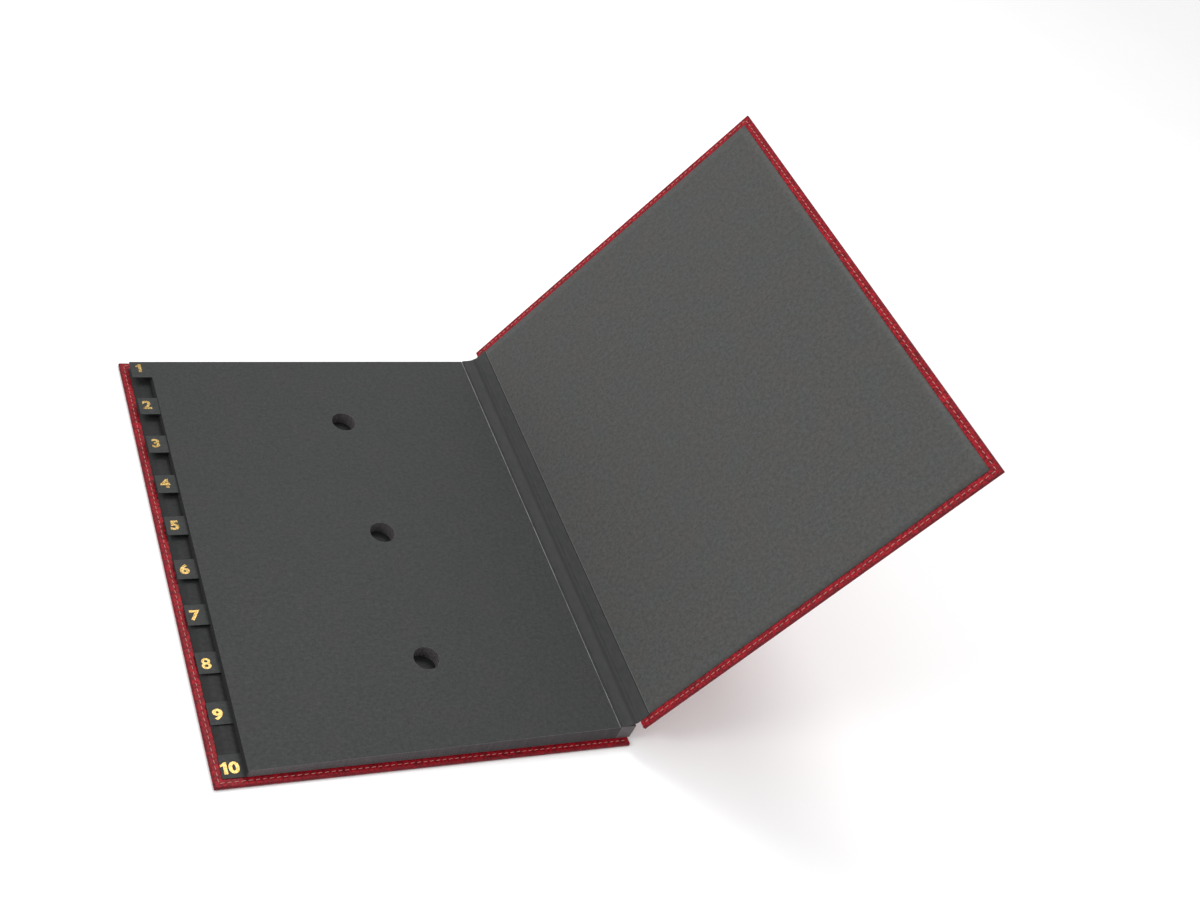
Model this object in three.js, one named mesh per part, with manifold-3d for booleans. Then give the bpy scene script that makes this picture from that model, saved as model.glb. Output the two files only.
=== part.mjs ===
// A signature book: a stitched leatherette cover whose lid stands open at 120 degrees, holding ten card leaves with
// stepped index tabs and three sight holes. Millimetres, +Z up. The origin is the centre of the base cover's underside,
// X runs from the fore-edge to the spine and Y along the spine, from the tail to the head.
import * as THREE from 'three';
import { mergeVertices } from 'three/addons/utils/BufferGeometryUtils.js';
import Module from 'manifold-3d';

const wasm = await Module();
wasm.setup();

// ---- driving dimensions ----------------------------------------------------------------------------------------
const COVER_LONG = 345;        // along the spine, for A4 sheets
const COVER_WIDE = 266;        // from fore-edge to spine
const COVER_THICK = 2.4;       // board with its leatherette on both faces
const SKIN = 0.4;              // leatherette
const FIT = 0.12;              // glue gap between the layers of a cover
const BORDER = 5.8;            // leatherette turned in over the inner face
const LINING = 0.28;           // black lining paper
const SEAM_INSET = 3.1;        // from the outer edge to the row of stitches
const THREAD_WIDE = 0.7;
const THREAD_THICK = 0.2;

const LID_LEAN = 59.5;         // the open lid above the horizontal, in degrees
const HINGE_X = 135.8;         // the lid's inner edge on the hinge side, with the lid leaning
const HINGE_Z = 19.0;
const LID_LINING_START = 7.6;  // the lid's lining starts this far from the hinge

const SPINE_X = 136.2;         // inner face of the spine strip
const SPINE_TALL = 14.7;       // top of the spine strip
const SPINE_THICK = 2.2;
const SPINE_LONG = 323;        // the spine strip stops short of the covers at head and tail

const LEAF_COUNT = 10;
const LEAF_THICK = 0.45;
const LEAF_LONG = 334.4;       // along the spine
const LEAF_REACH = 237.5;      // from the crease to the fore-edge between the tabs
const TAB_REACH = 251;         // from the crease to the end of a tab
const TAB_TALL = 15.6;
const CREASE_X = 123.5;        // the scored line that every leaf turns on
const CREASE_CLEAR = 0.4;      // from the crease to the cut end of a leaf
const CREASE_BOTTOM_Z = 3.05;  // middle of the lowest leaf at the crease
const CREASE_PITCH = 1.2;      // height of one leaf and its guard at the spine
const FORE_BOTTOM_Z = 2.75;    // middle of the lowest leaf at the fore-edge
const FORE_PITCH = 0.62;       // height of one leaf at the fore-edge
const HOLE_R = 8.5;            // sight holes
const HOLE_REACH = 110.5;      // from the crease
const HOLE_MIDDLE_Y = 1.5;
const HOLE_PITCH = 103.5;
const HOLE_SIDES = 32;

const JOINT_CLEAR = 0.6;       // below the outer edge of the open lid

const GUARD_START = 124.2;     // guards fill the binding margin behind the crease
const GUARD_END = 134.6;
const GUARD_THICK = 1.15;

// ---- materials -------------------------------------------------------------------------------------------------
const paint = (color, roughness) => new THREE.MeshStandardMaterial({ color, roughness, metalness: 0 });
const MATERIALS = {
  leatherette: () => paint(0xa01c30, 0.5),
  board: () => paint(0x8c8474, 0.9),
  lining: () => paint(0x484d4b, 0.85),
  card: () => paint(0x434746, 0.85),
  cloth: () => paint(0x2c2f2e, 0.9),
  thread: () => paint(0xe6c2ae, 0.7),
};

// ---- solids ----------------------------------------------------------------------------------------------------
function toSolid(geometry) {
  const bare = geometry.clone();
  bare.deleteAttribute('normal');
  bare.deleteAttribute('uv');
  const merged = mergeVertices(bare, 1e-5);
  return new wasm.Manifold(new wasm.Mesh({
    numProp: 3,
    vertProperties: new Float32Array(merged.attributes.position.array),
    triVerts: new Uint32Array(merged.index.array),
  }));
}

function toGeometry(solid) {
  const mesh = solid.getMesh();
  const geometry = new THREE.BufferGeometry();
  geometry.setAttribute('position', new THREE.BufferAttribute(new Float32Array(mesh.vertProperties), 3));
  geometry.setIndex(new THREE.BufferAttribute(new Uint32Array(mesh.triVerts), 1));
  geometry.computeVertexNormals();
  return geometry;
}

// a box given by its lowest and highest corners
function block([x0, y0, z0], [x1, y1, z1]) {
  const geometry = new THREE.BoxGeometry(x1 - x0, y1 - y0, z1 - z0);
  return geometry.translate((x0 + x1) / 2, (y0 + y1) / 2, (z0 + z1) / 2);
}

// an outline of [x, z] points, extruded along Y and centred on it
function strip(points, long) {
  const outline = new THREE.Shape(points.map(([x, z]) => new THREE.Vector2(x, z)));
  const geometry = new THREE.ExtrudeGeometry(outline, { depth: long, bevelEnabled: false });
  return geometry.rotateX(Math.PI / 2).translate(0, long / 2, 0);
}

// a thin strip that follows a line of [x, z] points, with its thickness on the left of the line
function ribbon(points, thick, long) {
  const left = points.map(([x, z], i) => {
    const [xa, za] = points[Math.max(i - 1, 0)];
    const [xb, zb] = points[Math.min(i + 1, points.length - 1)];
    const run = Math.hypot(xb - xa, zb - za);
    return [x - ((zb - za) * thick) / run, z + ((xb - xa) * thick) / run];
  });
  return strip([...points, ...left.reverse()], long);
}

function piece(name, geometry, material, group) {
  const mesh = new THREE.Mesh(geometry, MATERIALS[material]());
  mesh.name = name;
  group.add(mesh);
}

// ---- covers ----------------------------------------------------------------------------------------------------
// A cover is drawn with its hinge edge on the Y axis, reaching along +X, its inner face at z = 0 and its outer face
// below it. The leatherette wraps the outer face and three edges, and is turned in over the inner face as a border.
function coverSkin() {
  const half = COVER_LONG / 2;
  const whole = toSolid(block([0, -half, -COVER_THICK], [COVER_WIDE, half, 0]));
  const pocket = toSolid(block(
    [-1, -half + SKIN, -COVER_THICK + SKIN],
    [COVER_WIDE - SKIN, half - SKIN, -SKIN],
  ));
  const window = toSolid(block([-1, -half + BORDER, -1], [COVER_WIDE - BORDER, half - BORDER, 1]));
  return toGeometry(whole.subtract(pocket).subtract(window));
}

function coverBoard() {
  const half = COVER_LONG / 2 - SKIN - FIT;
  return block([0, -half, -COVER_THICK + SKIN + FIT], [COVER_WIDE - SKIN - FIT, half, -SKIN - FIT]);
}

function coverLining(start) {
  const half = COVER_LONG / 2 - BORDER - FIT;
  return block([start, -half, -SKIN], [COVER_WIDE - BORDER - FIT, half, -SKIN + LINING]);
}

// the row of stitches as one flat band round the three outer sides
function coverThread() {
  const outline = (inset) => [
    [0, -COVER_LONG / 2 + inset],
    [COVER_WIDE - inset, -COVER_LONG / 2 + inset],
    [COVER_WIDE - inset, COVER_LONG / 2 - inset],
    [0, COVER_LONG / 2 - inset],
  ];
  const points = [
    ...outline(SEAM_INSET - THREAD_WIDE / 2),
    ...outline(SEAM_INSET + THREAD_WIDE / 2).reverse(),
  ];
  const shape = new THREE.Shape(points.map(([x, y]) => new THREE.Vector2(x, y)));
  return new THREE.ExtrudeGeometry(shape, { depth: THREAD_THICK, bevelEnabled: false }).translate(0, 0, FIT / 2);
}

function addCover(name, liningStart, group) {
  piece(`${name}_leatherette`, coverSkin(), 'leatherette', group);
  piece(`${name}_board`, coverBoard(), 'board', group);
  piece(`${name}_lining`, coverLining(liningStart), 'lining', group);
  piece(`${name}_thread`, coverThread(), 'thread', group);
}

// ---- leaves ----------------------------------------------------------------------------------------------------
// A leaf is drawn flat with its crease on the Y axis, reaching along -X, and its middle at z = 0.
function leafGeometry(index) {
  const half = LEAF_LONG / 2;
  const step = (LEAF_LONG - TAB_TALL) / (LEAF_COUNT - 1);
  const tabTop = half - index * step;
  const tabFoot = tabTop - TAB_TALL;
  const points = [[-CREASE_CLEAR, -half], [-CREASE_CLEAR, half]];
  if (index > 0) {
    points.push([-LEAF_REACH, half], [-LEAF_REACH, tabTop]);
  }
  points.push([-TAB_REACH, tabTop], [-TAB_REACH, tabFoot]);
  if (index < LEAF_COUNT - 1) {
    points.push([-LEAF_REACH, tabFoot], [-LEAF_REACH, -half]);
  }
  const leaf = new THREE.Shape(points.map(([x, y]) => new THREE.Vector2(x, y)));
  for (const row of [1, 0, -1]) {
    const hole = new THREE.Path();
    hole.absarc(-HOLE_REACH, HOLE_MIDDLE_Y + row * HOLE_PITCH, HOLE_R, 0, Math.PI * 2, true);
    leaf.holes.push(hole);
  }
  const flat = new THREE.ExtrudeGeometry(leaf, {
    depth: LEAF_THICK,
    bevelEnabled: false,
    curveSegments: HOLE_SIDES / 2,
  });
  return flat.translate(0, 0, -LEAF_THICK / 2);
}

function addLeaf(index, group) {
  const fromBottom = LEAF_COUNT - 1 - index;
  const creaseZ = CREASE_BOTTOM_Z + fromBottom * CREASE_PITCH;
  const foreZ = FORE_BOTTOM_Z + fromBottom * FORE_PITCH;
  const turned = new THREE.Group();
  turned.position.set(CREASE_X, 0, creaseZ);
  turned.rotation.y = -Math.asin((creaseZ - foreZ) / LEAF_REACH);
  group.add(turned);
  piece(`leaf_${String(index + 1).padStart(2, '0')}`, leafGeometry(index), 'card', turned);
}

function addGuard(index, group) {
  const middle = CREASE_BOTTOM_Z + (LEAF_COUNT - 1 - index) * CREASE_PITCH;
  const half = LEAF_LONG / 2;
  const solid = block([GUARD_START, -half, middle - GUARD_THICK / 2], [GUARD_END, half, middle + GUARD_THICK / 2]);
  piece(`guard_${String(index + 1).padStart(2, '0')}`, solid, 'cloth', group);
}

// ---- spine and joint -------------------------------------------------------------------------------------------
function addSpine(group) {
  const outer = SPINE_X + SPINE_THICK;
  const start = COVER_WIDE / 2 + FIT;
  const skin = [
    [start, 0], [outer, 0], [outer, SPINE_TALL], [SPINE_X, SPINE_TALL], [SPINE_X, SPINE_TALL - SKIN],
    [outer - SKIN, SPINE_TALL - SKIN], [outer - SKIN, SKIN], [start, SKIN],
  ];
  piece('spine_leatherette', strip(skin, SPINE_LONG), 'leatherette', group);
  const board = [
    [SPINE_X + FIT, SKIN + FIT], [outer - SKIN - FIT, SKIN + FIT],
    [outer - SKIN - FIT, SPINE_TALL - SKIN - FIT], [SPINE_X + FIT, SPINE_TALL - SKIN - FIT],
  ];
  piece('spine_board', strip(board, SPINE_LONG - 2 * SKIN), 'board', group);
}

// the lid's inner face, as [x, z] at a distance from its hinge edge and a height above the face
function onLid(along, above) {
  const lean = THREE.MathUtils.degToRad(LID_LEAN);
  return [
    HINGE_X + along * Math.cos(lean) - above * Math.sin(lean),
    HINGE_Z + along * Math.sin(lean) + above * Math.cos(lean),
  ];
}

// The two flexible strips of the hinge: cloth from the top guard to the inside of the lid, and leatherette from the
// top of the spine to the outside of the lid.
function addJoint(group) {
  const topGuard = CREASE_BOTTOM_Z + (LEAF_COUNT - 1) * CREASE_PITCH + GUARD_THICK / 2;
  const inner = [
    [GUARD_START, topGuard + FIT], [129, topGuard + 0.5], [133, topGuard + 2.0],
    onLid(-0.9, 0.3), onLid(1.2, FIT), onLid(LID_LINING_START - FIT, FIT),
  ];
  piece('joint_cloth', ribbon(inner, LINING, LEAF_LONG), 'cloth', group);
  const outer = SPINE_X + SPINE_THICK;
  const [endX, endZ] = onLid(0, -COVER_THICK + SKIN);
  const leather = [
    [outer - SKIN, SPINE_TALL + FIT], [outer, SPINE_TALL + FIT],
    [endX + SKIN, endZ - JOINT_CLEAR], [endX, endZ - JOINT_CLEAR],
  ];
  piece('joint_leatherette', strip(leather, SPINE_LONG), 'leatherette', group);
}

// ---- assembly --------------------------------------------------------------------------------------------------
const book = new THREE.Group();

const base = new THREE.Group();
base.position.set(COVER_WIDE / 2, 0, COVER_THICK);
base.rotation.z = Math.PI;
book.add(base);
addCover('base', 0, base);

const lid = new THREE.Group();
lid.position.set(HINGE_X, 0, HINGE_Z);
lid.rotation.y = -THREE.MathUtils.degToRad(LID_LEAN);
book.add(lid);
addCover('lid', LID_LINING_START, lid);

addSpine(book);
addJoint(book);
for (let index = 0; index < LEAF_COUNT; index += 1) {
  addGuard(index, book);
  addLeaf(index, book);
}

export default book;
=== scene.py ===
# A signature book: stitched leatherette covers, their linings and flexible joint, and ten card leaves with
# index tabs, sight holes and gold numerals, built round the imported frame. Pieces are drawn in millimetres
# and then placed in metres. A cover is drawn flat, with its hinge edge at x = 0 and its inner face at z = 0.
# A leaf is drawn flat too, reaching from its crease along -x, with z = 0 in the middle of the card. The
# spine and the joint are drawn where they stand.
import math

import bmesh
import bpy
import numpy as np
from mathutils import Matrix, Quaternion, Vector


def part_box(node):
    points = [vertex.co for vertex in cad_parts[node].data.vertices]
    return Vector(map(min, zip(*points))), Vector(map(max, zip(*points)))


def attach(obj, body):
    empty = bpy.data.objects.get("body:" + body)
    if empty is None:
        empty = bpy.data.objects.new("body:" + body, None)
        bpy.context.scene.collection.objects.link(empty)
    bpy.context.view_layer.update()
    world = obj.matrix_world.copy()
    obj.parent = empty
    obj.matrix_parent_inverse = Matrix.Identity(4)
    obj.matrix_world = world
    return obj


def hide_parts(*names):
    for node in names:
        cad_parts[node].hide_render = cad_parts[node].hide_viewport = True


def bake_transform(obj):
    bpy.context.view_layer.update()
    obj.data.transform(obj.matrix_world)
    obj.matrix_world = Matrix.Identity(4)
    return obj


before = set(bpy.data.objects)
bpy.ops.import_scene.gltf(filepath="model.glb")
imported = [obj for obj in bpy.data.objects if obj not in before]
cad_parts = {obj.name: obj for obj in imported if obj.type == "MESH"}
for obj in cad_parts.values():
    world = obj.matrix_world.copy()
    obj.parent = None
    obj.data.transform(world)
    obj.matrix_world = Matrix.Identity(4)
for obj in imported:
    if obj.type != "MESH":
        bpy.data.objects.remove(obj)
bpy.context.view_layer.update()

MM = 0.001
LEAVES = 10

# ---- sizes in millimetres ------------------------------------------------------------------------
base_low, base_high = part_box("base_leatherette")
COVER_WIDE, COVER_LONG, COVER_THICK = (base_high - base_low) / MM
LINING_INSET = COVER_WIDE / 2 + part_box("base_lining")[0].x / MM   # from a cover's outer edge to its lining
LINING_TOP = (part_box("base_lining")[1].z - base_high.z) / MM      # below the inner face of the border

SKIN = 0.36             # leatherette
BORDER = 5.8            # leatherette turned in over the inner face
HINGE_RIM = 1.7         # the same along the hinge edge
HINGE_LAP = 0.3         # the turned leatherette stands this far past the board
EDGE_ROUND = 1.3        # from the outer edge to where its rounding starts
EDGE_POWER = 0.75       # below 1, the rounding is squarer than an ellipse
FLAT_END = 2.2          # from the outer edge to the last line of the flat face
CORNER_RADIUS = 0.7
CORNER_STEPS = 6
SIDE_MARGIN = 6.6       # outlines hold no side points nearer to a corner than this
TURN_IN = 14.0          # the hidden turn-in shows through the lining as a low step
STEP_TALL = 0.08
LINING_THICK = 0.26
LINING_STARTS = {"base": 0.3, "lid": 7.6}   # from the hinge edge

SEAM = 3.1              # from the outer edge to the row of stitches
SEAM_START = 1.9        # from the hinge edge to the first stitch hole
STITCH = 4.1            # from one stitch hole to the next, about
STITCH_DIP = 0.18       # share of that length at each end where the thread is below the surface
STITCH_DEEP = 0.26      # how far below the surface its middle line is there
STITCH_RISE = 0.36      # from there up to the highest part of its middle line
STITCH_SLANT = 0.5      # from one hole to the next a stitch runs this far across the seam
STITCH_RINGS = 9
STITCH_SIDES = 8
UNDER_SINK = 0.24       # stitches on the outer face lie this much deeper
THREAD_RADIUS = 0.22
GROOVE_DEEP = 0.16      # how far the stitches pull the leatherette in
GROOVE_HALF = 0.85

JOINT_THICK = 0.24      # book cloth
STRIP_LIFT = 0.16       # the cloth's face above the block's top
STRIP_BACK = 0.8        # the cloth stops this short of the block's edge, clear of a leaf turned right over

LEAF_THICK = 0.45
LEAF_CORNER = 0.5
TAB_REACH = (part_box("leaf_01")[1].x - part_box("leaf_01")[0].x) / MM
TAB_OUT = 13.5          # a tab stands this far out of its leaf
TAB_TALL = 15.6
LEAF_LONG = (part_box("leaf_01")[1].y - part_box("leaf_01")[0].y) / MM
TAB_STEP = (LEAF_LONG - TAB_TALL) / (LEAVES - 1)
CREASE_OVER = 0.9       # a leaf runs on to its guard past the frame's cut end
HOLE_RADIUS = 8.5
HOLE_REACH = 110.1      # from the frame's cut end
HOLE_MIDDLE = 1.5       # the middle hole is this far to the head side
HOLE_PITCH = 103.5
HOLE_SIDES = 72
CARD_BEVEL = 0.07
BEAD_HALF = 0.42        # half the width of the ridge along a crease
BEAD_PROUD = 0.05
BEAD_SIDES = 12

NUMERAL_TALL = 7.8
NUMERAL_WIDEN = 1.15
NUMERAL_GAP = 0.9
NUMERAL_X = 5.6         # from the end of a tab to the middle of its number
NUMERAL_DOWN = 6.4      # from the first tab's head side to the middle of its number
NUMERAL_DRIFT = 0.28    # how much lower each next number sits on its tab
FOIL_HALF = 0.02        # half the thickness of the foil
FOIL_LIFT = 0.012       # the middle of the foil above the card
FONT_TALL = 0.75        # the built-in font's digits are about this share of its size
ONE = [(0.18, 0), (0.42, 0), (0.42, 1), (0.24, 1), (0.15, 0.88), (0, 0.8), (0, 0.62), (0.18, 0.7)]


# ---- shading nodes -------------------------------------------------------------------------------
def add(tree, kind, inputs=None, **settings):
    """A new node with its settings, and its inputs given as numbers or as sockets to link."""
    node = tree.nodes.new("ShaderNode" + kind)
    for key, value in settings.items():
        setattr(node, key, value)
    for key, value in (inputs or {}).items():
        if isinstance(value, bpy.types.NodeSocket):
            tree.links.new(value, node.inputs[key])
        else:
            node.inputs[key].default_value = value
    return node


def new_material(name, shine=0.5, **sockets):
    """A Principled material. Numbers that are the same all over the surface are set on its own sockets."""
    material = bpy.data.materials.new(name)
    material.use_nodes = True
    shader = material.node_tree.nodes["Principled BSDF"]
    shader.inputs["Specular IOR Level"].default_value = shine
    for key, value in sockets.items():
        shader.inputs[key.replace("_", " ").title()].default_value = value
    return material, material.node_tree, shader


def place(tree, drawn=True):
    """Where a point is in metres: as its piece was drawn, or in its object's own coordinates."""
    if drawn:
        return add(tree, "Attribute", attribute_name="drawn").outputs["Vector"]
    return add(tree, "TexCoord").outputs["Object"]


def noise(tree, where, grain, detail=4.0, roughness=0.55):
    """Noise whose blotches are about grain metres across, from 0 to 1."""
    inputs = {"Vector": where, "Scale": 1 / grain, "Detail": detail, "Roughness": roughness}
    return add(tree, "TexNoise", inputs).outputs["Fac"]


def stretched(tree, where, factors):
    """Where, scaled along each axis. A factor below 1 draws a texture out along its axis."""
    return add(tree, "VectorMath", {0: where, 1: factors}, operation="MULTIPLY").outputs["Vector"]


def maths(tree, operation, first, second, third=0.0):
    return add(tree, "Math", {0: first, 1: second, 2: third}, operation=operation).outputs["Value"]


def graded(tree, value, low, high, to_low=0.0, to_high=1.0):
    """Value between low and high, carried over to between to_low and to_high and held there."""
    inputs = {"Value": value, "From Min": low, "From Max": high, "To Min": to_low, "To Max": to_high}
    return add(tree, "MapRange", inputs).outputs["Result"]


def coloured(tree, value, stops):
    """A colour that follows value through stops of (position, red, green, blue)."""
    ramp = add(tree, "ValToRGB", {"Fac": value})
    while len(ramp.color_ramp.elements) < len(stops):
        ramp.color_ramp.elements.new(0.5)
    for element, (position, *colour) in zip(ramp.color_ramp.elements, stops):
        element.position = position
        element.color = (*colour, 1)
    return ramp.outputs["Color"]


def mixed(tree, factor, first, second, how="MIX"):
    """The first colour turned into the second by factor. Either may be a socket or three numbers."""
    node = add(tree, "Mix", {0: factor}, data_type="RGBA", blend_type=how)
    for index, colour in ((6, first), (7, second)):
        if isinstance(colour, bpy.types.NodeSocket):
            tree.links.new(colour, node.inputs[index])
        else:
            node.inputs[index].default_value = (*colour, 1)
    return node.outputs[2]


def finish_surface(tree, shader, colour, roughness, height, depth):
    """Links a surface's colour, its roughness and a bump that is depth metres deep."""
    bump = add(tree, "Bump", {"Height": height, "Distance": depth, "Strength": 1.0})
    tree.links.new(colour, shader.inputs["Base Color"])
    tree.links.new(roughness, shader.inputs["Roughness"])
    tree.links.new(bump.outputs["Normal"], shader.inputs["Normal"])


def wear_and_shade_share(tree):
    """How much wear and painted shade a point has, from the piece's own mesh, broken up by noise."""
    wear_and_shade = add(tree, "Attribute", attribute_name="wear_and_shade").outputs["Fac"]
    patchiness = graded(tree, noise(tree, place(tree), 0.004), 0.35, 0.65, 0.5, 1.0)
    return maths(tree, "MULTIPLY", wear_and_shade, patchiness)


# ---- materials -----------------------------------------------------------------------------------
def leatherette():
    """Coated red cover material, embossed with a fine pebble grain and darkened along its edges by painted
    shade and wear.
    """
    material, tree, shader = new_material("leatherette", shine=0.18, coat_weight=0.02, coat_roughness=0.35)
    where = place(tree)
    cells = add(tree, "TexVoronoi", {"Vector": where, "Scale": 1 / 0.0011}, feature="SMOOTH_F1")
    pebbles = cells.outputs["Distance"]
    creases = noise(tree, where, 0.0032, 6.0)
    patches = noise(tree, where, 0.03)
    height = maths(tree, "MULTIPLY_ADD", pebbles, 0.8, creases)
    shade = maths(tree, "MULTIPLY_ADD", creases, 0.75, maths(tree, "MULTIPLY", patches, 0.25))
    reds = [(0.34, 0.18, 0.003, 0.008), (0.5, 0.3, 0.004, 0.012), (0.66, 0.43, 0.007, 0.018)]
    red = coloured(tree, shade, reds)
    pits = graded(tree, pebbles, 0.25, 0.65)
    red = mixed(tree, maths(tree, "MULTIPLY", pits, 0.75), red, (0.05, 0.001, 0.003))
    # Darker along the edges: painted shade for the dark rim of the rounded edges, with wear at the corners
    # and the spine's ends.
    red = mixed(tree, maths(tree, "MULTIPLY", wear_and_shade_share(tree), 0.9), red, (0.06, 0.003, 0.006))
    roughness = graded(tree, creases, 0.3, 0.7, 0.42, 0.6)
    finish_surface(tree, shader, red, roughness, height, 0.00012)
    return material


def card(name, tone, fibre):
    """Black card or lining paper with a faint felt finish, its fibres about fibre metres long."""
    material, tree, shader = new_material(name, shine=0.2, sheen_weight=0.02, sheen_roughness=0.6)
    where = place(tree)
    felt = noise(tree, where, fibre, 5.0, 0.65)
    laid = noise(tree, stretched(tree, where, (0.7, 1.2, 1)), fibre * 1.6, 3.0)
    mottles = noise(tree, where, 0.0028, 3.0, 0.7)
    height = maths(tree, "ADD", felt, laid)
    shade = maths(tree, "MULTIPLY_ADD", felt, 0.5, maths(tree, "MULTIPLY", mottles, 0.5))
    dark = [channel * 0.78 for channel in tone]
    light = [channel * 1.22 for channel in tone]
    grey = coloured(tree, shade, [(0.38, *dark), (0.62, *light)])
    casts = noise(tree, where, 0.022, 3.0)
    cast = coloured(tree, casts, [(0.36, 0.96, 1.0, 0.99), (0.64, 1.03, 0.99, 0.985)])
    grey = mixed(tree, 1.0, grey, cast, "MULTIPLY")
    # Paler where the mesh marks it: along each lining's hinge edge.
    grey = mixed(tree, maths(tree, "MULTIPLY", wear_and_shade_share(tree), 0.7), grey, (0.16, 0.165, 0.16))
    roughness = graded(tree, laid, 0.3, 0.7, 0.48, 0.6)
    finish_surface(tree, shader, grey, roughness, height, 0.00006)
    return material


def card_edge():
    """The cut edge of a leaf: the card's warm grey core, with painted shade that turns it near black along
    the fore-edge and the tabs.
    """
    material, tree, shader = new_material("card_edge", shine=0.3)
    where = place(tree)
    fibres = noise(tree, stretched(tree, where, (1, 1, 3)), 0.0007, 4.0)
    grey = coloured(tree, fibres, [(0.35, 0.085, 0.074, 0.078), (0.68, 0.17, 0.15, 0.156)])
    reach = add(tree, "SeparateXYZ", {"Vector": where}).outputs["X"]
    # Painted shade: near black on the cut edges towards the tab ends, along the fore-edge.
    fore_edge_painted_shade = graded(tree, reach, (TAB_OUT - TAB_REACH + 1) * MM, (TAB_OUT - TAB_REACH) * MM)
    grey = mixed(tree, fore_edge_painted_shade, grey, (0.016, 0.016, 0.016))
    finish_surface(tree, shader, grey, graded(tree, fibres, 0.3, 0.7, 0.75, 0.9), fibres, 0.00005)
    return material


def crease_line():
    """The scored edge of a leaf, rubbed pale where it bends."""
    material, tree, shader = new_material("crease_line", shine=0.3)
    rub = noise(tree, stretched(tree, place(tree), (1, 0.15, 1)), 0.0016, 4.0)
    grey = coloured(tree, rub, [(0.36, 0.09, 0.094, 0.09), (0.6, 0.19, 0.196, 0.19)])
    finish_surface(tree, shader, grey, graded(tree, rub, 0.3, 0.7, 0.6, 0.8), rub, 0.00004)
    return material


def cloth(name, drawn):
    """Fine black book cloth in a plain weave. A drawn piece is darkest where its mesh marks painted shade,
    along the joint's glued edge and fold, and the guards show grey card at their two cut ends."""
    material, tree, shader = new_material(name, shine=0.25, sheen_weight=0.05, sheen_roughness=0.5)
    where = place(tree, drawn)
    warp = add(tree, "TexWave", {"Vector": where, "Scale": 900.0, "Distortion": 0.6}, bands_direction="X")
    weft = add(tree, "TexWave", {"Vector": where, "Scale": 900.0, "Distortion": 0.6}, bands_direction="Y")
    weave = maths(tree, "MULTIPLY", warp.outputs["Fac"], weft.outputs["Fac"])
    slubs = noise(tree, stretched(tree, where, (1, 0.5, 1)), 0.0035, 4.0)
    grey = coloured(tree, slubs, [(0.35, 0.034, 0.036, 0.036), (0.65, 0.046, 0.046, 0.045)])
    grey = mixed(tree, maths(tree, "MULTIPLY", weave, 0.25), grey, (0.02, 0.021, 0.021))
    if drawn:
        # Painted shadow along the glued edge and painted shade in the fold, where the mesh marks them.
        glue_gap_and_fold_shade = add(tree, "Attribute", attribute_name="wear_and_shade").outputs["Fac"]
        grey = mixed(tree, glue_gap_and_fold_shade, grey, (0.006, 0.006, 0.006))
    else:
        along = add(tree, "SeparateXYZ", {"Vector": where}).outputs["Y"]
        end = maths(tree, "GREATER_THAN", maths(tree, "ABSOLUTE", along, 0.0), (LEAF_LONG / 2 - 0.05) * MM)
        grey = mixed(tree, end, grey, (0.1, 0.088, 0.092))
    finish_surface(tree, shader, grey, graded(tree, slubs, 0.3, 0.7, 0.7, 0.85), weave, 0.00006)
    return material


def board():
    """Grey bookbinder's board."""
    material, tree, shader = new_material("greyboard", shine=0.3)
    where = place(tree, drawn=False)
    pulp = noise(tree, where, 0.0015, 6.0, 0.7)
    grey = coloured(tree, pulp, [(0.3, 0.2, 0.18, 0.15), (0.55, 0.3, 0.27, 0.22), (0.7, 0.36, 0.33, 0.28)])
    finish_surface(tree, shader, grey, graded(tree, pulp, 0.3, 0.7, 0.85, 0.95), pulp, 0.0001)
    return material


def thread():
    """Two-ply sewing thread, pale pink beige."""
    material, tree, shader = new_material("thread", shine=0.3, sheen_weight=0.2, sheen_roughness=0.4)
    where = place(tree)
    fibres = noise(tree, where, 0.00025, 3.0)
    pink = coloured(tree, fibres, [(0.3, 0.32, 0.1, 0.085), (0.7, 0.6, 0.31, 0.26)])
    finish_surface(tree, shader, pink, graded(tree, fibres, 0.3, 0.7, 0.55, 0.75), fibres, 0.00003)
    return material


def gold():
    """Hot-stamped gold foil, a little broken by the card under it."""
    material, tree, shader = new_material("gold_foil", metallic=1.0)
    where = place(tree)
    fleck = noise(tree, where, 0.0009, 5.0)
    golds = [(0.36, 0.18, 0.095, 0.018), (0.5, 0.42, 0.28, 0.09), (0.64, 0.62, 0.46, 0.2)]
    tint = coloured(tree, fleck, golds)
    finish_surface(tree, shader, tint, graded(tree, fleck, 0.3, 0.7, 0.28, 0.5), fleck, 0.00003)
    return material


MATERIALS = {
    "leatherette": leatherette(),
    # The base's lining is the lid's paper made far darker: painted shade for the tab recesses and sight holes
    # where it shows.
    "base_lining": card("base_lining_paper_painted_shade", (0.016, 0.0172, 0.0168), 0.0016),
    "lid_lining": card("lid_lining_paper", (0.06, 0.0608, 0.0588), 0.0016),
    "card": card("leaf_card", (0.0305, 0.0328, 0.0322), 0.0013),
    "card_edge": card_edge(),
    "crease_line": crease_line(),
    "joint_cloth": cloth("joint_cloth", drawn=True),
    "guard_cloth": cloth("guard_cloth", drawn=False),
    "board": board(),
    "thread": thread(),
    "gold": gold(),
}


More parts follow.
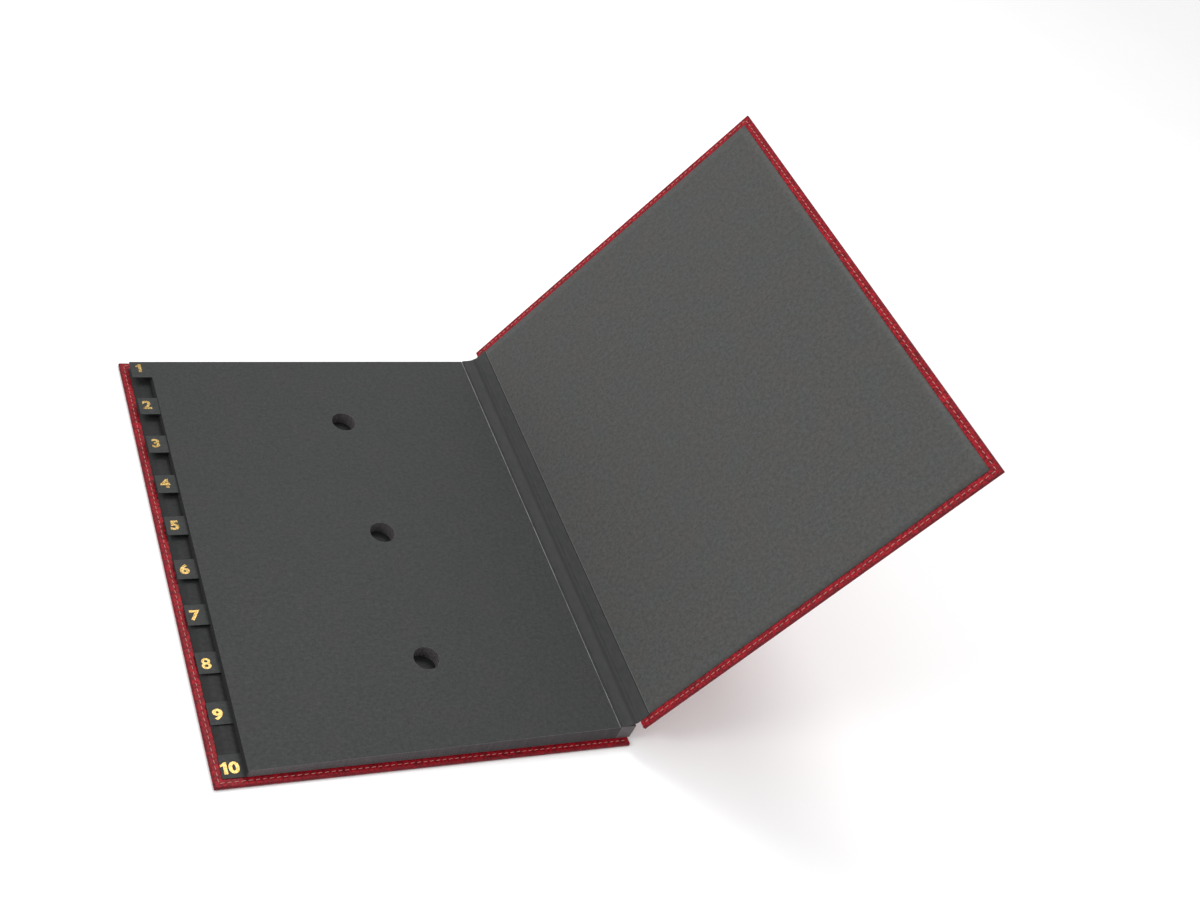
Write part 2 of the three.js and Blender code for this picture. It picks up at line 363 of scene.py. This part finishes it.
# ---- meshes --------------------------------------------------------------------------------------
def make_piece(name, points, faces, matrix, materials, wear_and_shade=None, sharp=40, which=None):
    """An object from points drawn in millimetres, which it keeps as its "drawn" attribute, placed by matrix.
    Wear and painted shade give each point a share from 0 to 1, sharp is the least angle in degrees between
    faces that makes a hard edge, and which gives each face its place in materials."""
    points = np.asarray(points, float)
    mesh = bpy.data.meshes.new(name)
    mesh.from_pydata((points * MM).tolist(), [], faces)
    drawn = mesh.attributes.new("drawn", "FLOAT_VECTOR", "POINT")
    drawn.data.foreach_set("vector", (points * MM).astype(np.float32).ravel())
    # Each point's share of wear and painted shade.
    wear_and_shade_layer = mesh.attributes.new("wear_and_shade", "FLOAT", "POINT")
    wear_and_shade_layer.data.foreach_set("value", np.zeros(len(points)) if wear_and_shade is None else np.asarray(wear_and_shade, float))
    for material in materials:
        mesh.materials.append(MATERIALS[material])
    if which is not None:
        mesh.polygons.foreach_set("material_index", which)
    clean = bmesh.new()
    clean.from_mesh(mesh)
    bmesh.ops.remove_doubles(clean, verts=clean.verts, dist=1e-7)
    clean.to_mesh(mesh)
    clean.free()
    mesh.polygons.foreach_set("use_smooth", [True] * len(mesh.polygons))
    mesh.set_sharp_from_angle(angle=math.radians(sharp))
    mesh.transform(matrix)
    piece = bpy.data.objects.new(name, mesh)
    bpy.context.scene.collection.objects.link(piece)
    return piece


def loft(rows, closed):
    """Points and faces between rows with the same number of points each, facing left of the rows' run."""
    rows = np.asarray(rows, float)
    lines, count = rows.shape[:2]
    faces = []
    for line in range(lines - 1):
        for at in range(count if closed else count - 1):
            after = (at + 1) % count
            a, b = line * count + at, line * count + after
            faces.append((a, a + count, b + count, b))
    return rows.reshape(-1, 3), faces


def give_thickness(piece, thick):
    """Makes a sheet into a closed shell, thick millimetres deep on its back."""
    solid = piece.modifiers.new("thickness", "SOLIDIFY")
    solid.thickness = thick * MM
    solid.offset = -1


def spaced(low, high, step):
    """Even positions from low to high, about step apart."""
    return np.linspace(low, high, max(1, round((high - low) / step)) + 1)


def smooth_step(value):
    """Eases from 0 to 1 as value goes from 0 to 1, and stays there on either side."""
    value = np.clip(value, 0, 1)
    return value * value * (3 - 2 * value)


# ---- covers --------------------------------------------------------------------------------------
def base_place():
    """Places the base with its hinge edge to the spine and its inner face up."""
    turn = Matrix.Rotation(math.pi, 4, "Z")
    return Matrix.Translation((base_high.x, 0, base_high.z)) @ turn


def lid_place():
    """Places the lid by its lean and hinge edge, worked out from the box of its leatherette."""
    low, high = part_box("lid_leatherette")
    wide, thick = COVER_WIDE * MM, COVER_THICK * MM
    span = high - low
    sine = (wide * span.z - thick * span.x) / (wide**2 - thick**2)
    cosine = (wide * span.x - thick * span.z) / (wide**2 - thick**2)
    turn = Matrix.Rotation(-math.atan2(sine, cosine), 4, "Y")
    return Matrix.Translation((low.x, 0, low.z + thick * cosine)) @ turn


SIDE_X = spaced(SIDE_MARGIN, COVER_WIDE - SIDE_MARGIN, STITCH / 4)
SIDE_Y = spaced(SIDE_MARGIN - COVER_LONG / 2, COVER_LONG / 2 - SIDE_MARGIN, STITCH / 4)
TAIL_HOLES = spaced(SEAM_START, COVER_WIDE - SEAM, STITCH)
FORE_HOLES = spaced(SEAM - COVER_LONG / 2, COVER_LONG / 2 - SEAM, STITCH)


def outline(inset):
    """A closed line round a cover, counter-clockwise from its tail. All such lines have points in step."""
    radius = max(CORNER_RADIUS - inset, 0.2)
    left, right = inset * HINGE_RIM / BORDER - HINGE_LAP, COVER_WIDE - inset
    low, high = inset - COVER_LONG / 2, COVER_LONG / 2 - inset
    turn = np.linspace(0, math.pi / 2, CORNER_STEPS + 1)

    def corner(x, y, quarter):
        angle = turn + quarter * math.pi / 2
        return np.column_stack((x + radius * np.cos(angle), y + radius * np.sin(angle)))

    return np.vstack((
        np.column_stack((SIDE_X, np.full(len(SIDE_X), low))),
        corner(right - radius, low + radius, 3),
        np.column_stack((np.full(len(SIDE_Y), right), SIDE_Y)),
        corner(right - radius, high - radius, 0),
        np.column_stack((SIDE_X[::-1], np.full(len(SIDE_X), high))),
        corner(left + radius, high - radius, 1),
        np.column_stack((np.full(len(SIDE_Y), left), SIDE_Y[::-1])),
        corner(left + radius, low + radius, 2),
    ))


def seam_groove(points):
    """How deep the row of stitches pulls the leatherette in, most at the stitch holes."""
    x, y = points[:, 0], points[:, 1]
    from_side = COVER_LONG / 2 - np.abs(y)
    from_fore = COVER_WIDE - x
    off_seam = np.abs(np.minimum(from_side, from_fore) - SEAM) / GROOVE_HALF
    tail_step = TAIL_HOLES[1] - TAIL_HOLES[0]
    fore_step = FORE_HOLES[1] - FORE_HOLES[0]
    phase = np.where(from_side < from_fore, (x - SEAM_START) / tail_step, (y - FORE_HOLES[0]) / fore_step)
    pull = 0.6 + 0.4 * np.cos(2 * math.pi * phase)
    return GROOVE_DEEP * pull * smooth_step(1 - off_seam) * smooth_step((x - HINGE_RIM) / 1.5)


def cover_profile():
    """Inset and height of each line of the leatherette: from the border's inner edge, round the outer edge
    and under."""
    border = [(BORDER, -0.4), (BORDER, -0.1), (BORDER - 0.06, -0.03), (BORDER - 0.2, 0.0)]
    seam = [SEAM + off for off in (GROOVE_HALF, 0.4, 0.0, -0.4, -GROOVE_HALF)] + [FLAT_END]
    edge = []
    for turn in np.linspace(math.pi / 2, -math.pi / 2, 13):
        out = abs(math.cos(turn)) ** EDGE_POWER
        up = np.sign(math.sin(turn)) * abs(math.sin(turn)) ** EDGE_POWER
        edge.append((EDGE_ROUND * (1 - out), COVER_THICK / 2 * (up - 1)))
    over = [(inset, 0.0) for inset in seam]
    under = [(inset, -COVER_THICK) for inset in reversed(seam)]
    return border + over + edge + under + [(BORDER + 0.2, -COVER_THICK)]


def cover_skin(name, matrix, node):
    """Leatherette over the outer face and all four edges of a cover, turned in as a border. Its edges carry
    painted shade on their rounding together with wear, most at the two outer corners."""
    rows, wear_and_shade = [], []
    for inset, height in cover_profile():
        line = outline(inset)
        pull = seam_groove(line)
        inner = height > -COVER_THICK / 2
        rows.append(np.column_stack((line, height - pull if inner else height + pull)))
        # Painted shade along the rounded edges, with more wear towards the two outer corners.
        rim = smooth_step(1.6 - inset / 0.8)
        corner = np.hypot(COVER_WIDE - line[:, 0], COVER_LONG / 2 - np.abs(line[:, 1]))
        wear_and_shade.append(rim * (0.75 + 0.25 * smooth_step(1 - corner / 12)))
    points, faces = loft(rows, closed=True)
    count = len(rows[0])
    last = (len(rows) - 1) * count
    faces.append(tuple(range(last + count - 1, last - 1, -1)))
    skin = make_piece(name, points, faces, matrix, ["leatherette"], wear_and_shade=np.concatenate(wear_and_shade), sharp=50)
    give_thickness(skin, SKIN)
    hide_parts(node)
    return skin


def stitch_holes():
    """The holes of a cover's seam in order, from the hinge along the tail, the fore-edge and the head."""
    side, fore = COVER_LONG / 2 - SEAM, COVER_WIDE - SEAM
    tail = [(x, -side) for x in TAIL_HOLES]
    front = [(fore, y) for y in FORE_HOLES[1:-1]]
    head = [(x, side) for x in reversed(TAIL_HOLES)]
    return [np.array(hole) for hole in tail + front + head]


def stitch(start, end, face, up, sink):
    """Rings of one stitch: a two-ply thread that comes up out of one hole and dips into the next. The
    surface is at height face and looks up (1) or down (-1), and the stitch lies deeper in it by sink."""
    run = end - start
    across = np.array((-run[1], run[0])) / np.linalg.norm(run)
    along = np.linspace(STITCH_DIP, 1 - STITCH_DIP, STITCH_RINGS)
    lean = (along - 0.5) * STITCH_SLANT
    middle = start + along[:, None] * run + lean[:, None] * across
    rise = np.clip(np.sin(math.pi * (along - STITCH_DIP) / (1 - 2 * STITCH_DIP)), 0, 1)
    height = face + up * (STITCH_RISE * rise**0.7 - STITCH_DEEP - sink)
    angle = np.linspace(0, 2 * math.pi, STITCH_SIDES, endpoint=False)
    ply = 1 + 0.14 * np.cos(2 * angle[None, :] - 9 * along[:, None])
    thick = THREAD_RADIUS * ply * (0.72 + 0.28 * rise[:, None] ** 0.5)
    out = thick * np.cos(angle)[None, :]
    above = thick * np.sin(angle)[None, :]
    x = middle[:, 0, None] + out * across[0]
    y = middle[:, 1, None] + out * across[1]
    return np.stack((x, y, height[:, None] + above), axis=-1)


def cover_stitches(name, matrix, node):
    """Every stitch on both faces of a cover, as one piece."""
    holes = stitch_holes()
    points, faces = [], []
    for face, up, sink in ((0.0, 1, 0.0), (-COVER_THICK, -1, UNDER_SINK)):
        for start, end in zip(holes, holes[1:]):
            rows, quads = loft(stitch(start, end, face, up, sink), closed=True)
            first = len(points)
            points.extend(rows)
            faces.extend(tuple(first + corner for corner in quad) for quad in quads)
            faces.append(tuple(range(first, first + STITCH_SIDES)))
            faces.append(tuple(reversed(range(len(points) - STITCH_SIDES, len(points)))))
    piece = make_piece(name, points, faces, matrix, ["thread"], sharp=100)
    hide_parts(node)
    return piece


def lining(name, matrix, start, node):
    """Lining paper over a cover's board, paler along its hinge edge. The turn-in below makes a low step. Its
    material is named after its node."""
    far = COVER_WIDE - LINING_INSET
    side = COVER_LONG / 2 - LINING_INSET
    near_start = start + np.array((0.25, 0.5, 0.9))
    near_step = TURN_IN + np.linspace(-1.2, 1.2, 9)
    step_x, step_y = COVER_WIDE - near_step, COVER_LONG / 2 - near_step
    xs = np.unique(np.concatenate((spaced(start, far, 6), near_start, step_x)))
    ys = np.unique(np.concatenate((spaced(-side, side, 6), step_y, -step_y)))
    x, y = np.meshgrid(xs, ys, indexing="ij")
    from_edge = np.minimum(COVER_WIDE - x, COVER_LONG / 2 - np.abs(y))
    height = LINING_TOP + STEP_TALL * smooth_step((TURN_IN + 0.9 - from_edge) / 1.8)
    rows = np.stack((x, y, height), axis=-1)
    points, faces = loft(rows, closed=False)
    faces = [tuple(reversed(face)) for face in faces]
    wear_and_shade = smooth_step(1 - (points[:, 0] - start) / 0.9)
    sheet = make_piece(name, points, faces, matrix, [node], wear_and_shade=wear_and_shade, sharp=50)
    give_thickness(sheet, LINING_THICK)
    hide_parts(node)
    return sheet


# ---- spine and joint -----------------------------------------------------------------------------
def arc(x, z, radius, start, end, steps=5):
    """Points [x, z] on an arc between two angles in degrees."""
    angles = np.radians(np.linspace(start, end, steps + 1))
    return [(x + radius * math.cos(angle), z + radius * math.sin(angle)) for angle in angles]


def rounded_line(points, steps):
    """A smooth line of [x, z] points through the given ones, in steps pieces from each to the next."""
    points = [np.array(point, float) for point in points]
    ends = [2 * points[0] - points[1], *points, 2 * points[-1] - points[-2]]
    line = []
    for before, here, there, after in zip(ends, ends[1:], ends[2:], ends[3:]):
        for t in np.arange(steps) / steps:
            line.append(
                0.5 * (2 * here + (there - before) * t + (2 * before - 5 * here + 4 * there - after) * t**2
                       + (3 * here - before - 3 * there + after) * t**3)
            )
    line.append(points[-1])
    return line


def along_spine(line, long, ends):
    """Rows of points that carry a line of [x, z] points along Y. For each row near an end, ends gives its
    distance from the end and what share of the line's depth in x is drawn in there. Its top and its foot are
    drawn in by the same share of half a millimetre."""
    line = np.array(line)
    inner = line[:, 0].min()
    middle = line[:, 1].mean()
    tall = np.ptp(line[:, 1])
    half = long / 2
    stations = [(-half + off, draw) for off, draw in ends]
    stations += [(y, 0.0) for y in spaced(-half + ends[-1][0], half - ends[-1][0], 8)[1:-1]]
    stations += [(half - off, draw) for off, draw in reversed(ends)]
    rows = []
    for y, draw in stations:
        x = inner + (line[:, 0] - inner) * (1 - draw)
        z = middle + (line[:, 1] - middle) * (1 - draw / tall)
        rows.append(np.column_stack((x, np.full(len(line), y), z)))
    return rows


def spine():
    """Leatherette round the spine's stiffener, turned in and worn at head and tail."""
    low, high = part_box("spine_leatherette")
    x0, x1, z0, z1 = low.x / MM, high.x / MM, low.z / MM, high.z / MM
    bend = 0.9
    line = [(x0, z0), (x0 + 1.2, z0)] + arc(x1 - bend, z0 + bend, bend, -90, 0)
    line += [(x1, z0 + 4), (x1, z1 - 4)] + arc(x1 - bend, z1 - bend, bend, 0, 90) + [(x1 - 2.1, z1)]
    ends = [(0.3, 0.93), (0.06, 0.75), (0.0, 0.4), (0.08, 0.15), (0.3, 0.03), (0.8, 0.0)]
    rows = along_spine(line, (high.y - low.y) / MM, ends)
    points, faces = loft(rows, closed=False)
    wear_and_shade = smooth_step(1 - (high.y / MM - np.abs(points[:, 1])) / 1.5) * 0.8
    piece = make_piece("spine_wrap", points, faces, Matrix.Identity(4), ["leatherette"], wear_and_shade=wear_and_shade, sharp=50)
    give_thickness(piece, SKIN)
    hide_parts("spine_leatherette")
    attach(piece, "base")


def in_lid(matrix, x, z):
    """The shared frame's [x, z] in millimetres of a point drawn on the lid."""
    point = matrix @ Vector((x * MM, 0, z * MM))
    return point.x / MM, point.z / MM


def joint_outside(lid):
    """The flexible leatherette between the spine and the lid, with a shallow groove pressed along it."""
    low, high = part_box("spine_leatherette")
    outer, top = high.x / MM, high.z / MM
    end_x, end_z = in_lid(lid, -0.1, -COVER_THICK + 0.04)
    line = rounded_line([
        (outer, top - 0.75), (outer, top - 0.2), (outer - 0.32, top + 0.8), (outer - 0.62, top + 1.7),
        (end_x - 0.1, end_z - 0.45), in_lid(lid, 0.7, -COVER_THICK - 0.03),
    ], 5)
    ends = [(0.0, 0.0), (0.5, 0.0)]
    points, faces = loft(along_spine(line, (high.y - low.y) / MM, ends), closed=False)
    piece = make_piece("joint_leather", points, faces, Matrix.Identity(4), ["leatherette"], sharp=60)
    give_thickness(piece, SKIN)
    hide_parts("joint_leatherette")
    return piece


def joint_inside(lid):
    """Book cloth from the top of the binding block up over the lid's hinge edge. It carries a painted shadow
    along its glued edge on the lid and painted shade in the fold."""
    low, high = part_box("joint_cloth")
    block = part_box("guard_01")[1].z / MM
    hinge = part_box("lid_leatherette")[0].x / MM
    fold = np.array((hinge - 2.4, block + 2.2))
    line = rounded_line([
        (low.x / MM + STRIP_BACK, block + STRIP_LIFT), (hinge - 8.8, block + STRIP_LIFT + 0.04),
        (hinge - 6.4, block + STRIP_LIFT + 0.35), (hinge - 4.2, block + 1.15), fold,
        in_lid(lid, -1.4, 0.05), in_lid(lid, -0.2, 0.22), in_lid(lid, 1.4, 0.1),
        in_lid(lid, 4.5, 0.06), in_lid(lid, LINING_STARTS["lid"] - 0.05, 0.06),
    ], 6)
    line = np.array(line[::-1])
    rows = along_spine(line, (high.y - low.y) / MM, [(0.0, 0.0), (0.5, 0.0)])
    points, faces = loft(rows, closed=False)
    faces = [tuple(reversed(face)) for face in faces]
    from_end = np.linalg.norm(line - line[0], axis=1)
    from_fold = np.linalg.norm(line - fold, axis=1)
    # Painted shadow of the gap along the glued edge, and painted shade in the fold.
    dark = np.maximum(smooth_step(1 - from_end / 0.7), 0.4 * smooth_step(1 - from_fold / 2.4))
    wear_and_shade = np.tile(dark, len(rows))
    piece = make_piece("joint_strip", points, faces, Matrix.Identity(4), ["joint_cloth"], wear_and_shade, sharp=60)
    give_thickness(piece, JOINT_THICK)
    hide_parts("joint_cloth")
    return piece


# ---- leaves --------------------------------------------------------------------------------------
def rounded_corners(points, radius, steps=4):
    """A closed outline of right angles with each corner rounded."""
    points = [np.array(point, float) for point in points]
    made = []
    for at, corner in enumerate(points):
        back = points[at - 1] - corner
        ahead = points[(at + 1) % len(points)] - corner
        back, ahead = back / np.linalg.norm(back), ahead / np.linalg.norm(ahead)
        centre = corner + radius * (back + ahead)
        for turn in np.linspace(0, math.pi / 2, steps + 1):
            made.append(centre - radius * (ahead * math.cos(turn) + back * math.sin(turn)))
    return np.array(made)


def inward(loop, distance):
    """A closed line moved distance to the left of its run."""
    run = np.roll(loop, -1, axis=0) - np.roll(loop, 1, axis=0)
    left = np.column_stack((-run[:, 1], run[:, 0]))
    return loop + distance * left / np.linalg.norm(left, axis=1)[:, None]


def slab(loops, thick, bevel):
    """A flat card in a bmesh. The first loop is its outline, counter-clockwise, and the rest are clockwise
    holes. Its cut edges have rounded rims and take the second material."""
    shape = bmesh.new()
    top_edges, bottom_edges = [], []
    half = thick / 2
    levels = [(bevel, half), (bevel * 0.3, half - bevel * 0.3), (0, half - bevel)]
    levels += [(inset, -height) for inset, height in reversed(levels)]
    for loop in loops:
        rings = []
        for inset, height in levels:
            rings.append([shape.verts.new((x, y, height)) for x, y in inward(loop, inset)])
        count = len(loop)
        for upper, lower in zip(rings, rings[1:]):
            for at in range(count):
                after = (at + 1) % count
                face = shape.faces.new((upper[at], lower[at], lower[after], upper[after]))
                face.material_index = 1
        for ring, edges in ((rings[0], top_edges), (rings[-1], bottom_edges)):
            edges.extend(shape.edges.get((ring[at], ring[(at + 1) % count])) for at in range(count))
    for edges, normal in ((top_edges, (0, 0, 1)), (bottom_edges, (0, 0, -1))):
        bmesh.ops.triangle_fill(shape, edges=edges, use_beauty=True, normal=normal)
    return shape


def tab_top(index):
    """The head side of a leaf's index tab: the first is at the leaf's head and the last ends at its tail."""
    return LEAF_LONG / 2 - index * TAB_STEP


def leaf_outline(index):
    """A leaf from its crease, counter-clockwise, with its index tab."""
    half = LEAF_LONG / 2
    body = TAB_OUT - TAB_REACH
    top = tab_top(index)
    foot = top - TAB_TALL
    points = [(CREASE_OVER, half)]
    points += [(body, half), (body, top)] if index > 0 else []
    points += [(-TAB_REACH, top), (-TAB_REACH, foot)]
    points += [(body, foot), (body, -half)] if index < LEAVES - 1 else []
    points.append((CREASE_OVER, -half))
    return rounded_corners(points, LEAF_CORNER)


def leaf_holes():
    """The three sight holes of a leaf, as clockwise loops."""
    angle = np.linspace(0, -2 * math.pi, HOLE_SIDES, endpoint=False)
    hole = HOLE_RADIUS * np.column_stack((np.cos(angle), np.sin(angle)))
    return [hole + (-HOLE_REACH, HOLE_MIDDLE + row * HOLE_PITCH) for row in (1, 0, -1)]


def crease_bead():
    """The pale ridge along a leaf's crease: rows of points for a low bead on both faces."""
    turn = np.linspace(0, 2 * math.pi, BEAD_SIDES, endpoint=False)
    x = CREASE_OVER - BEAD_HALF + 0.04 + BEAD_HALF * np.cos(turn)
    z = (LEAF_THICK / 2 + BEAD_PROUD) * np.sign(np.sin(turn)) * np.abs(np.sin(turn)) ** 0.5
    rows = []
    for y in spaced(-LEAF_LONG / 2 + 0.2, LEAF_LONG / 2 - 0.2, 10):
        rows.append(np.column_stack((x, np.full(len(turn), y), z)))
    return rows


def leaf_place(node):
    """Places a leaf that is drawn flat, with the frame's cut end at x = 0 and reaching along -X."""
    low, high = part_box(node)
    drop = (high.z - low.z) / MM - LEAF_THICK
    tilt = Matrix.Rotation(-math.asin(drop / TAB_REACH), 4, "Y")
    return Matrix.Translation((high.x, 0, high.z - LEAF_THICK / 2 * MM)) @ tilt


def add_leaf(index):
    """One card leaf with the ridge along its crease, riding on its own body, and its number."""
    name = f"leaf_{index + 1:02d}"
    shape = slab([leaf_outline(index), *leaf_holes()], LEAF_THICK, CARD_BEVEL)
    shape.verts.ensure_lookup_table()
    shape.verts.index_update()
    points = [tuple(vert.co) for vert in shape.verts]
    faces = [tuple(vert.index for vert in face.verts) for face in shape.faces]
    which = [face.material_index for face in shape.faces]
    shape.free()
    bead, quads = loft(crease_bead(), closed=True)
    first = len(points)
    points.extend(map(tuple, bead))
    faces.extend(tuple(first + corner for corner in quad) for quad in quads)
    faces.append(tuple(range(first, first + BEAD_SIDES)))
    faces.append(tuple(reversed(range(len(points) - BEAD_SIDES, len(points)))))
    which.extend([2] * (len(quads) + 2))
    matrix = leaf_place(name)
    materials = ["card", "card_edge", "crease_line"]
    piece = make_piece(f"card_{index + 1:02d}", points, faces, matrix, materials, sharp=20, which=which)
    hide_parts(name)
    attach(piece, name)
    add_numeral(index, name)


def letter_one():
    """A bold 1 with a flag, NUMERAL_TALL high. The built-in font's 1 is a plain bar."""
    line = bpy.data.curves.new("one", "CURVE")
    line.dimensions = "2D"
    line.fill_mode = "BOTH"
    spline = line.splines.new("POLY")
    spline.points.add(len(ONE) - 1)
    for point, (x, y) in zip(spline.points, ONE):
        point.co = (x * NUMERAL_TALL, y * NUMERAL_TALL, 0, 1)
    spline.use_cyclic_u = True
    return line


def letter(character):
    """A digit of the built-in font, about NUMERAL_TALL high and bold. The 8 is less so, to keep its eyes."""
    text = bpy.data.curves.new("digit", "FONT")
    text.body = character
    text.size = NUMERAL_TALL / FONT_TALL
    text.offset = 0.2 if character == "8" else 0.4
    return text


def stamped(character, left):
    """Points, faces and right side of one digit, with its foot on y = 0 and its left side at x = left."""
    curve = letter_one() if character == "1" else letter(character)
    curve.extrude = FOIL_HALF
    curve.resolution_u = 6
    drawing = bpy.data.objects.new("digit", curve)
    bpy.context.scene.collection.objects.link(drawing)
    depsgraph = bpy.context.evaluated_depsgraph_get()
    mesh = drawing.evaluated_get(depsgraph).to_mesh()
    points = np.array([vert.co for vert in mesh.vertices])
    faces = [tuple(face.vertices) for face in mesh.polygons]
    bpy.data.objects.remove(drawing)
    low, high = points.min(axis=0), points.max(axis=0)
    points[:, 0] = left + (points[:, 0] - low[0]) * NUMERAL_WIDEN
    points[:, 1] = (points[:, 1] - low[1]) * NUMERAL_TALL / (high[1] - low[1])
    return points, faces, points[:, 0].max()


def add_numeral(index, node):
    """The leaf's number, stamped in gold on its tab."""
    points, faces, end = np.empty((0, 3)), [], 0.0
    for character in str(index + 1):
        left = end + NUMERAL_GAP if len(points) else 0.0
        shape, polygons, end = stamped(character, left)
        faces.extend(tuple(len(points) + corner for corner in polygon) for polygon in polygons)
        points = np.vstack((points, shape))
    foot = tab_top(index) - NUMERAL_DOWN - index * NUMERAL_DRIFT - NUMERAL_TALL / 2
    points += (NUMERAL_X - TAB_REACH - end / 2, foot, LEAF_THICK / 2 + FOIL_LIFT)
    piece = make_piece(f"numeral_{index + 1:02d}", points, faces, leaf_place(node), ["gold"])
    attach(piece, node)


# ---- stage ---------------------------------------------------------------------------------------
def add_floor():
    """A wide pale floor, a hair under the book."""
    bpy.ops.mesh.primitive_grid_add(x_subdivisions=4, y_subdivisions=4, size=9)
    floor = bpy.context.object
    floor.name = "floor"
    material, tree, shader = new_material("floor_paint", roughness=0.9)
    tone = noise(tree, place(tree, drawn=False), 0.2)
    white = coloured(tree, tone, [(0.3, 0.94, 0.94, 0.94), (0.7, 0.955, 0.955, 0.955)])
    tree.links.new(white, shader.inputs["Base Color"])
    floor.data.materials.append(material)
    floor.location.z = -0.0002


def add_light(name, spot, aim, size, power):
    """A round soft light at spot that shines on aim."""
    lamp = bpy.data.lights.new(name, "AREA")
    lamp.shape = "DISK"
    lamp.size = size
    lamp.energy = power
    holder = bpy.data.objects.new(name, lamp)
    holder.location = spot
    holder.rotation_euler = (Vector(aim) - Vector(spot)).to_track_quat("-Z", "Y").to_euler()
    bpy.context.scene.collection.objects.link(holder)


def add_world(strength):
    """Even white light from all round."""
    world = bpy.data.worlds.new("studio")
    world.use_nodes = True
    world.node_tree.nodes["Background"].inputs["Color"].default_value = (1, 1, 1, 1)
    world.node_tree.nodes["Background"].inputs["Strength"].default_value = strength
    bpy.context.scene.world = world


def add_camera():
    """The viewpoint: off the corner of the tail and the fore-edge, looking down at 41 degrees."""
    data = bpy.data.cameras.new("camera")
    data.sensor_width = 36
    data.lens = 44.78
    data.shift_x = 0.1006
    data.shift_y = 0.0089
    camera = bpy.data.objects.new("camera", data)
    camera.location = (-0.3505, -0.5981, 0.7105)
    ahead = Vector((0.42754, 0.62242, -0.65559))
    camera.rotation_mode = "QUATERNION"
    roll = Quaternion((0, 0, 1), math.radians(23.5))
    camera.rotation_quaternion = ahead.to_track_quat("-Z", "Y") @ roll
    bpy.context.scene.collection.objects.link(camera)
    bpy.context.scene.camera = camera


# ---- the book ------------------------------------------------------------------------------------
add_camera()
base_at, lid_at = base_place(), lid_place()
for body, matrix in (("base", base_at), ("lid", lid_at)):
    parts = [
        cover_skin(f"{body}_cover", matrix, f"{body}_leatherette"),
        cover_stitches(f"{body}_stitches", matrix, f"{body}_thread"),
        lining(f"{body}_paper", matrix, LINING_STARTS[body], f"{body}_lining"),
    ]
    for part in parts:
        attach(part, body)

spine()
leather_joint = joint_outside(lid_at)
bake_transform(leather_joint)
cloth_joint = joint_inside(lid_at)
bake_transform(cloth_joint)

for leaf_index in range(LEAVES):
    add_leaf(leaf_index)

for node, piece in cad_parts.items():
    if node.endswith("_board"):
        piece.data.materials.clear()
        piece.data.materials.append(MATERIALS["board"])
    elif node.startswith("guard_"):
        piece.data.materials.clear()
        piece.data.materials.append(MATERIALS["guard_cloth"])

add_floor()
add_world(0.9)
add_light("key", (0.32, 0.6, 1.35), (0, 0, 0), 0.5, 7)
add_light("side", (-1.5, -0.2, 1.1), (0.2, 0, 0.14), 0.6, 10)
bpy.context.scene.view_settings.view_transform = "Standard"
